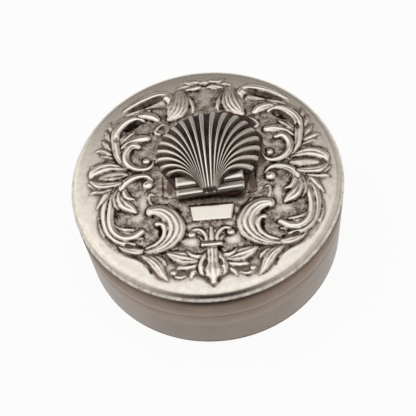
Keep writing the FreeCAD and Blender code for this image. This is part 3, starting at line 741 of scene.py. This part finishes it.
def scallopShell():
    bm = bmesh.new()
    layer = bm.verts.layers.float.new("wear")
    bmesh.ops.create_grid(bm, x_segments=shell["ribs"] * shell["perRib"], y_segments=shell["along"], size=0.5)
    for vert in bm.verts:
        across, along = min(max(vert.co.x + 0.5, 1e-6), 1 - 1e-6), vert.co.y + 0.5
        vert.co, crest = ribPoint(across, along)
        # grooves lighten towards the umbo: a painted highlight
        low = shellWear["groove"] + shellWear["umbo"] * max(0, 1 - along / shellWear["umboHighlightReach"])
        # rib crests darken towards the back tips: painted shade
        tip = max(0, along - shellWear["tipFrom"]) / (1 - shellWear["tipFrom"])
        high = shellWear["crest"] - shellWear["backTipShade"] * tip * max(0, vert.co.y / shellWear["length"])
        fade = min(1, shellWear["hinge"] + along / shellWear["hingeReach"])
        vert[layer] = (low + (high - low) * crest ** shellWear["crestPower"]) * fade
    dropSkirt(bm, layer)
    cols, rows = shell["barGrid"]
    for front, back, top in shell["bars"]:
        for vert in bmesh.ops.create_grid(bm, x_segments=cols, y_segments=rows, size=0.5)["verts"]:
            roll = vert.co.y + 0.5
            vert.co = Vector((vert.co.x * 2 * shell["barHalf"], front + (back - front) * roll,
                              top * np.interp(roll, *shell["barForm"])))
            # across each bar: rubbed silver with a painted highlight on the rounded front edge and painted
            # shade along its back
            vert[layer] = np.interp(roll, *shellWear["barWearAndPaintedLight"])
        dropSkirt(bm, layer)
    for spot in shell["pearls"]:
        pearl = bmesh.ops.create_icosphere(bm, subdivisions=2, radius=shell["pearlRadius"])["verts"]
        bmesh.ops.translate(bm, vec=spot, verts=pearl)
        for vert in pearl:
            vert[layer] = shellWear["pearl"]
    bmesh.ops.recalc_face_normals(bm, faces=bm.faces)
    bmesh.ops.transform(bm, matrix=shellSeat(), verts=bm.verts)
    finishMesh(bm, "scallopShell", cast, "lid", "cast_silver", "scallop_shell")


scallopShell()


# Cement bed: fills the wedge under the shell, squeezed out beside its right rim and under its hinge

bed = {"steps": 200, "inset": 0.9, "lump": 0.18, "lumpSize": 1.3, "lumpTurn": 10,
       "squeezed": [(25, 14, 1.7), (50, 14, 2.3), (78, 12, 1.7), (152, 17, 2.2), (-150, 14, 1.2)],
       "section": [(0, 0), (0.94, 0), (1.0, 0.1), (1.02, 0.45), (1.0, 0.8), (0.95, 1), (0, 1)]}


def cementBed():
    bm = bmesh.new()
    latheProfile(bm, bed["section"], bed["steps"])
    seat = shellSeat()
    for vert in bm.verts:
        theta = math.atan2(vert.co.x, vert.co.y)
        out = -bed["inset"] + sum(more * math.exp(-((math.degrees(theta) - mid) / spread) ** 2)
                                  for mid, spread, more in bed["squeezed"])
        share, level = math.hypot(vert.co.x, vert.co.y), vert.co.z
        around = Vector((math.sin(theta), math.cos(theta), level)) * bed["lumpTurn"] / bed["lumpSize"]
        lump = bed["lump"] * noise.noise(around) * share
        local = Vector(((shell["fan"][0] + out + lump) * share * math.sin(theta),
                        shell["fanCentre"] + (shell["fan"][1] + out + lump) * share * math.cos(theta), 0))
        point = seat @ local
        point.z = lidFlatZ + (point.z - lidFlatZ) * level
        vert.co = point
    bmesh.ops.recalc_face_normals(bm, faces=bm.faces)
    finishMesh(bm, "cementBed", cement, "lid", "old_cement", "shell_cement")


cementBed()


# Stage: pale floor, soft light and the camera

stage = {"floorSize": 60.0, "floorColour": "#f4f4f3", "floorRough": 0.9, "white": 0.93, "level": 1.15,
         "key": (-0.5, 0.2, 0.34), "keySize": 0.7, "keyPower": 0.75}

floorMaterial, floorTree, floorShader = newMaterial("paper_sweep_white")
floorShader.inputs["Base Color"].default_value = hexLinear(stage["floorColour"])
floorShader.inputs["Roughness"].default_value = stage["floorRough"]
path = addNode(floorTree, "ShaderNodeLightPath")
seen = addNode(floorTree, "ShaderNodeMath", {"operation": "MAXIMUM"}, i0=path.outputs["Is Camera Ray"],
               i1=path.outputs["Is Glossy Ray"])
seenToo = addNode(floorTree, "ShaderNodeMath", {"operation": "MAXIMUM"}, i0=seen.outputs[0],
                  i1=path.outputs["Is Transmission Ray"])
share = addNode(floorTree, "ShaderNodeMath", {"operation": "MULTIPLY"}, i0=seenToo.outputs[0],
                i1=stage["white"])
glow = addNode(floorTree, "ShaderNodeEmission", Color=(1, 1, 1, 1), Strength=1.0)
mix = addNode(floorTree, "ShaderNodeMixShader", Fac=share.outputs[0], i1=floorShader.outputs[0],
              i2=glow.outputs[0])
floorTree.links.new(mix.outputs[0], floorTree.nodes["Material Output"].inputs["Surface"])

bm = bmesh.new()
bmesh.ops.create_grid(bm, x_segments=2, y_segments=2, size=stage["floorSize"] / 2)
floorMesh = bpy.data.meshes.new("floor")
bm.to_mesh(floorMesh)
bm.free()
floorMesh.materials.append(floorMaterial)
floor = bpy.data.objects.new("floor", floorMesh)
bpy.context.scene.collection.objects.link(floor)

# Room: bright overhead, darker below it, with a pale sweep behind the box, pale sides and a dark front
room = {"cap": [(0.0, "#7a7672"), (0.5, "#77726e"), (0.66, "#857f7a"), (0.75, "#a09a95"), (0.82, "#e6e2de"),
                (0.88, "#ffffff")],
        "sweep": "#a9a4a0", "sweepBack": (0.1, 0.7), "sweepLow": (0.5, 0.15),
        "sides": "#cdc7c1", "sidesOut": (0.35, 0.75), "sidesUp": (0.05, 0.3),
        "front": "#0f0e0f", "frontOn": (-0.3, -0.6), "frontLow": (0.92, 0.74), "frontNarrow": (0.5, 0.2)}

world = bpy.data.worlds.new("softRoom")
bpy.context.scene.world = world
world.use_nodes = True
sky = world.node_tree
direction = addNode(sky, "ShaderNodeTexCoord").outputs["Generated"]
axes = addNode(sky, "ShaderNodeSeparateXYZ", Vector=direction)
sideways = addNode(sky, "ShaderNodeMath", {"operation": "ABSOLUTE"}, i0=axes.outputs["X"])
cap = addNode(sky, "ShaderNodeValToRGB", Fac=axes.outputs["Z"])


def roomPatch(under, colour, *limits):    # lays a colour over the room where all the limits hold
    amount = 1.0
    for socket, name in limits:
        start, full = room[name]
        part = addNode(sky, "ShaderNodeMapRange", Value=socket, From_Min=start, From_Max=full)
        both = addNode(sky, "ShaderNodeMath", {"operation": "MULTIPLY"}, i0=amount, i1=part.outputs[0])
        amount = both.outputs[0]
    patch = addNode(sky, "ShaderNodeMix", {"data_type": "RGBA"}, Factor=amount, i6=under,
                    i7=hexLinear(room[colour]))
    return patch.outputs[2]


swept = roomPatch(rampStops(cap, room["cap"]), "sweep", (axes.outputs["Y"], "sweepBack"),
                  (axes.outputs["Z"], "sweepLow"))
sided = roomPatch(swept, "sides", (sideways.outputs[0], "sidesOut"), (axes.outputs["Z"], "sidesUp"))
dimmed = roomPatch(sided, "front", (axes.outputs["Y"], "frontOn"), (sideways.outputs[0], "frontNarrow"),
                   (axes.outputs["Z"], "frontLow"))
sky.links.new(dimmed, sky.nodes["Background"].inputs["Color"])
sky.nodes["Background"].inputs["Strength"].default_value = stage["level"]

# Key lamp: broad and weak, from behind on the left
keyData = bpy.data.lights.new("key", "AREA")
keyData.size = stage["keySize"]
keyData.energy = stage["keyPower"]
key = bpy.data.objects.new("key", keyData)
key.location = stage["key"]
key.rotation_euler = (Vector((0, 0, 0)) - key.location).to_track_quat("-Z", "Y").to_euler()
bpy.context.scene.collection.objects.link(key)

# Camera: fitted to the outline in the photograph, in degrees, metres and pixels
view = {"azimuth": 4.83, "elevation": 57.96, "roll": -8.44, "distance": 0.17781, "aim": (0, 0, 0.006875),
        "focal": 830.0, "nudge": (-0.00063, 0.00035), "frame": 416, "sensor": 36.0, "near": 0.01}
az, el, roll = (math.radians(view[k]) for k in ("azimuth", "elevation", "roll"))
back = Vector((math.sin(az) * math.cos(el), -math.cos(az) * math.cos(el), math.sin(el)))
level = Vector((math.cos(az), math.sin(az), 0))
rightWay = level * math.cos(roll) + back.cross(level) * math.sin(roll)
upWay = back.cross(level) * math.cos(roll) - level * math.sin(roll)
spot = Vector(view["aim"]) + back * view["distance"] + rightWay * view["nudge"][0] + upWay * view["nudge"][1]
cameraData = bpy.data.cameras.new("camera")
cameraData.sensor_width = view["sensor"]
cameraData.lens = view["sensor"] * view["focal"] / view["frame"]
cameraData.clip_start = view["near"]
camera = bpy.data.objects.new("camera", cameraData)
camera.matrix_world = Matrix.Translation(spot) @ Matrix((rightWay, upWay, back)).transposed().to_4x4()
bpy.context.scene.collection.objects.link(camera)
bpy.context.scene.camera = camera
bpy.context.scene.view_settings.view_transform = "Standard"
print("stage ready")
